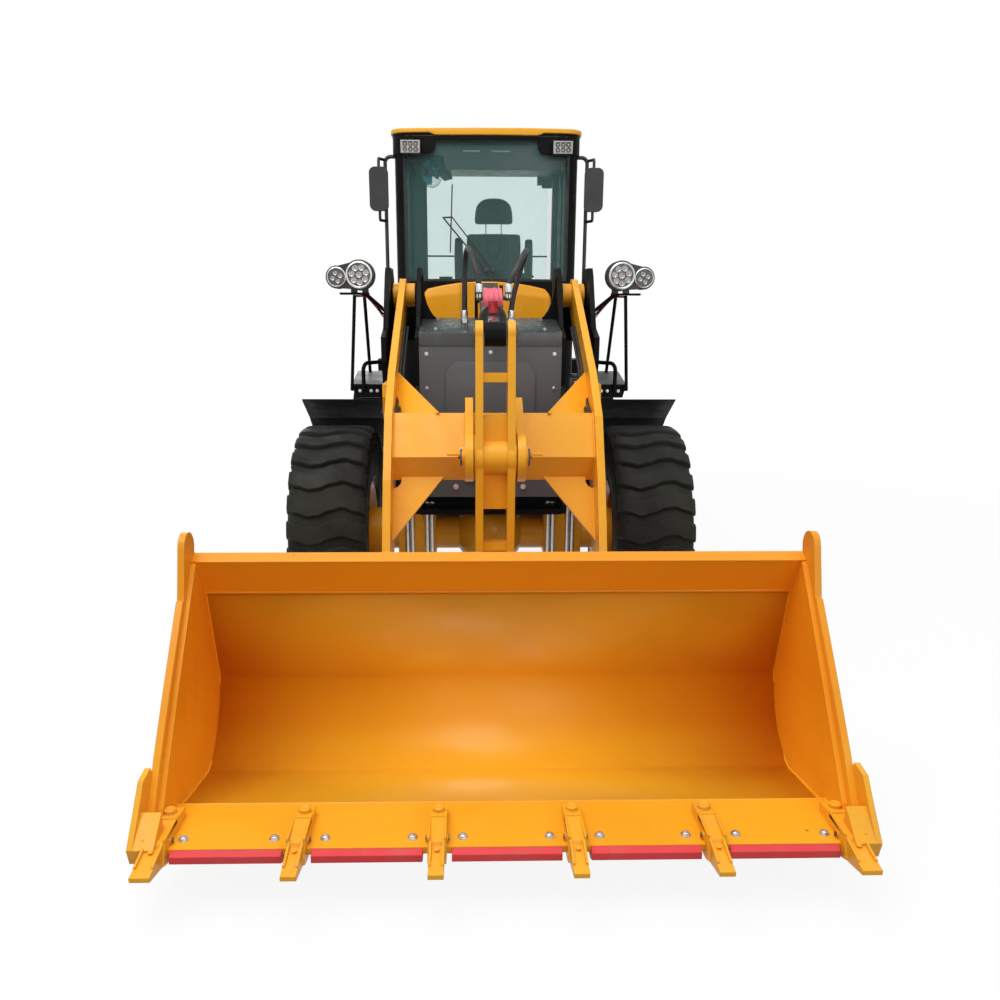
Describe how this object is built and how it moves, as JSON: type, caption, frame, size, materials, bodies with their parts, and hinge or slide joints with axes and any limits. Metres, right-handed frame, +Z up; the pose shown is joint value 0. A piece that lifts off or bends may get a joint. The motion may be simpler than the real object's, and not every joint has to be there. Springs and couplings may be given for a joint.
{
  "type": "articulated wheel loader",
  "caption": "Articulated wheel loader with boom, bellcrank linkage and toothed bucket, centre-hinged frame, glazed cab and rear engine hood.",
  "frame": {"origin": "ground level under the middle of the machine's length and width", "axes": "+X to the machine's left, +Y to its rear, +Z up; the bucket points to -Y"},
  "size_m": [2.54, 7.28, 3.2],
  "materials": {
    "yellow_paint": "gloss machine enamel",
    "black_paint": "satin black enamel",
    "grey_paint": "satin dark grey enamel",
    "tyre_rubber": "dull, dusty",
    "hose_rubber": "satin",
    "chrome_rod": "polished",
    "glass": "clear, pale green",
    "black_plastic": "moulded",
    "seat_cover": "woven and padded",
    "red_paint": "flat red",
    "lens": "clear moulded"
  },
  "bodies": {
    "rear_frame": {"cab_floor": "black_paint", "cab_frame": "black_paint", "cab_glass": "glass", "cab_nose": "yellow_paint", "cab_roof": "yellow_paint", "counterweight": "black_paint", "engine_block": "black_paint", "hood": "yellow_paint", "mirrors": "black_plastic", "rear_axle": "yellow_paint", "rear_fenders": "black_paint", "rear_frame": "black_paint", "rear_grille": "black_paint", "rear_lamps": "lens", "rear_shaft": "black_paint", "seat": "seat_cover", "stacks": "black_paint", "steering_column": "black_plastic", "step_tanks": "black_paint", "work_lamps": "black_plastic"},
    "front_frame": {"front_frame": "black_paint", "tower_covers": "grey_paint", "front_axle": "yellow_paint", "front_fenders": "black_paint", "side_boxes": "black_paint", "lamp_posts": "black_paint", "head_lamps": "black_plastic", "front_shaft": "black_paint", "tilt_hoses": "hose_rubber", "axle_pads": "black_paint"},
    "boom": {"boom": "yellow_paint"},
    "bucket": {"bucket": "yellow_paint", "bucket_teeth": "yellow_paint", "wear_segments": "red_paint"},
    "bellcrank": {"bellcrank": "yellow_paint"},
    "link": {"link": "yellow_paint"},
    "lift_barrels": {"lift_barrels": "yellow_paint"},
    "lift_rods": {"lift_rods": "chrome_rod"},
    "tilt_barrel": {"tilt_barrel": "yellow_paint"},
    "tilt_rod": {"tilt_rod": "chrome_rod"},
    "cab_door_left": {"cab_door_left": "black_paint", "door_glass_left": "glass"},
    "cab_door_right": {"cab_door_right": "black_paint", "door_glass_right": "glass"},
    "hood_door_left": {"hood_door_left": "yellow_paint"},
    "hood_door_right": {"hood_door_right": "yellow_paint"},
    "steer_barrel_left": {"steer_barrel_left": "yellow_paint"},
    "steer_rod_left": {"steer_rod_left": "chrome_rod"},
    "steer_barrel_right": {"steer_barrel_right": "yellow_paint"},
    "steer_rod_right": {"steer_rod_right": "chrome_rod"},
    "wheel_front_left": {"tyre_front_left": "tyre_rubber", "rim_front_left": "yellow_paint"},
    "wheel_front_right": {"tyre_front_right": "tyre_rubber", "rim_front_right": "yellow_paint"},
    "wheel_rear_left": {"tyre_rear_left": "tyre_rubber", "rim_rear_left": "yellow_paint"},
    "wheel_rear_right": {"tyre_rear_right": "tyre_rubber", "rim_rear_right": "yellow_paint"}
  },
  "joints": [
    {"name": "steering", "type": "hinge", "parent": "rear_frame", "child": "front_frame", "pos_m": [0, 0.565, 1], "axis": [0, 0, 1], "range_deg": [-36, 36]},
    {"name": "spin_front_left", "type": "hinge", "parent": "front_frame", "child": "wheel_front_left", "pos_m": [0.92, -0.81, 0.656], "axis": [1, 0, 0], "continuous": true},
    {"name": "spin_front_right", "type": "hinge", "parent": "front_frame", "child": "wheel_front_right", "pos_m": [-0.92, -0.81, 0.656], "axis": [1, 0, 0], "continuous": true},
    {"name": "spin_rear_left", "type": "hinge", "parent": "rear_frame", "child": "wheel_rear_left", "pos_m": [0.92, 1.94, 0.656], "axis": [1, 0, 0], "continuous": true},
    {"name": "spin_rear_right", "type": "hinge", "parent": "rear_frame", "child": "wheel_rear_right", "pos_m": [-0.92, 1.94, 0.656], "axis": [1, 0, 0], "continuous": true},
    {"name": "boom_lift", "type": "hinge", "parent": "front_frame", "child": "boom", "pos_m": [0, -0.4, 2.08], "axis": [-1, 0, 0], "range_deg": [-4, 83], "deforming": ["tilt_hoses"]},
    {"name": "bucket_tilt", "type": "hinge", "parent": "boom", "child": "bucket", "pos_m": [0, -2.43, 0.38], "axis": [1, 0, 0], "range_deg": [-35, 125]},
    {"name": "crank_turn", "type": "hinge", "parent": "boom", "child": "bellcrank", "pos_m": [0, -1.9, 1.3], "axis": [1, 0, 0], "range_deg": [-36.36, 10.54]},
    {"name": "link_turn", "type": "hinge", "parent": "bellcrank", "child": "link", "pos_m": [0, -1.89, 0.62], "axis": [1, 0, 0], "range_deg": [-23.14, 81.34]},
    {"name": "tilt_barrel_turn", "type": "hinge", "parent": "boom", "child": "tilt_barrel", "pos_m": [0, -0.4, 2.08], "axis": [1, 0, 0], "range_deg": [-2.69, 8.32]},
    {"name": "tilt_rod_slide", "type": "slide", "parent": "tilt_barrel", "child": "tilt_rod", "axis": [0, -0.9905, -0.1376], "range_m": [-0.3124, 0.0889]},
    {"name": "lift_barrel_turn", "type": "hinge", "parent": "front_frame", "child": "lift_barrels", "pos_m": [0, -0.09, 1.27], "axis": [-1, 0, 0], "range_deg": [-2.74, 47]},
    {"name": "lift_rod_slide", "type": "slide", "parent": "lift_barrels", "child": "lift_rods", "axis": [0, -0.9881, 0.1541], "range_m": [-0.0371, 0.7293]},
    {"name": "steer_barrel_turn_left", "type": "hinge", "parent": "rear_frame", "child": "steer_barrel_left", "pos_m": [0.49, 1.27, 0.99], "axis": [0, 0, 1], "range_deg": [-2.47, 2.47]},
    {"name": "steer_rod_slide_left", "type": "slide", "parent": "steer_barrel_left", "child": "steer_rod_left", "axis": [-0.1882, -0.9821, 0], "range_m": [-0.2129, 0.2129]},
    {"name": "steer_barrel_turn_right", "type": "hinge", "parent": "rear_frame", "child": "steer_barrel_right", "pos_m": [-0.49, 1.27, 0.99], "axis": [0, 0, 1], "range_deg": [-2.47, 2.47]},
    {"name": "steer_rod_slide_right", "type": "slide", "parent": "steer_barrel_right", "child": "steer_rod_right", "axis": [0.1882, -0.9821, 0], "range_m": [-0.2129, 0.2129]},
    {"name": "cab_door_left_swing", "type": "hinge", "parent": "rear_frame", "child": "cab_door_left", "pos_m": [0.658, 1.32, 2.2], "axis": [0, 0, 1], "range_deg": [0, 90]},
    {"name": "cab_door_right_swing", "type": "hinge", "parent": "rear_frame", "child": "cab_door_right", "pos_m": [-0.658, 1.32, 2.2], "axis": [0, 0, -1], "range_deg": [0, 90]},
    {"name": "hood_door_left_lift", "type": "hinge", "parent": "rear_frame", "child": "hood_door_left", "pos_m": [0.577, 2.49, 1.957], "axis": [0, -1, 0], "range_deg": [0, 70]},
    {"name": "hood_door_right_lift", "type": "hinge", "parent": "rear_frame", "child": "hood_door_right", "pos_m": [-0.577, 2.49, 1.957], "axis": [0, 1, 0], "range_deg": [0, 70]}
  ],
  "couplings": [
    {"joint": "crank_turn", "follows": "bucket_tilt", "ratio": -0.28686},
    {"joint": "link_turn", "follows": "bucket_tilt", "ratio": 0.64673},
    {"joint": "tilt_barrel_turn", "follows": "bucket_tilt", "ratio": 0.062564},
    {"joint": "tilt_rod_slide", "follows": "bucket_tilt", "m_per_rad": -0.14229},
    {"joint": "lift_barrel_turn", "follows": "boom_lift", "ratio": 0.56028},
    {"joint": "lift_rod_slide", "follows": "boom_lift", "m_per_rad": 0.50209},
    {"joint": "steer_barrel_turn_left", "follows": "steering", "ratio": 0.054661},
    {"joint": "steer_rod_slide_left", "follows": "steering", "m_per_rad": -0.33562},
    {"joint": "steer_barrel_turn_right", "follows": "steering", "ratio": 0.054661},
    {"joint": "steer_rod_slide_right", "follows": "steering", "m_per_rad": 0.33562}
  ]
}
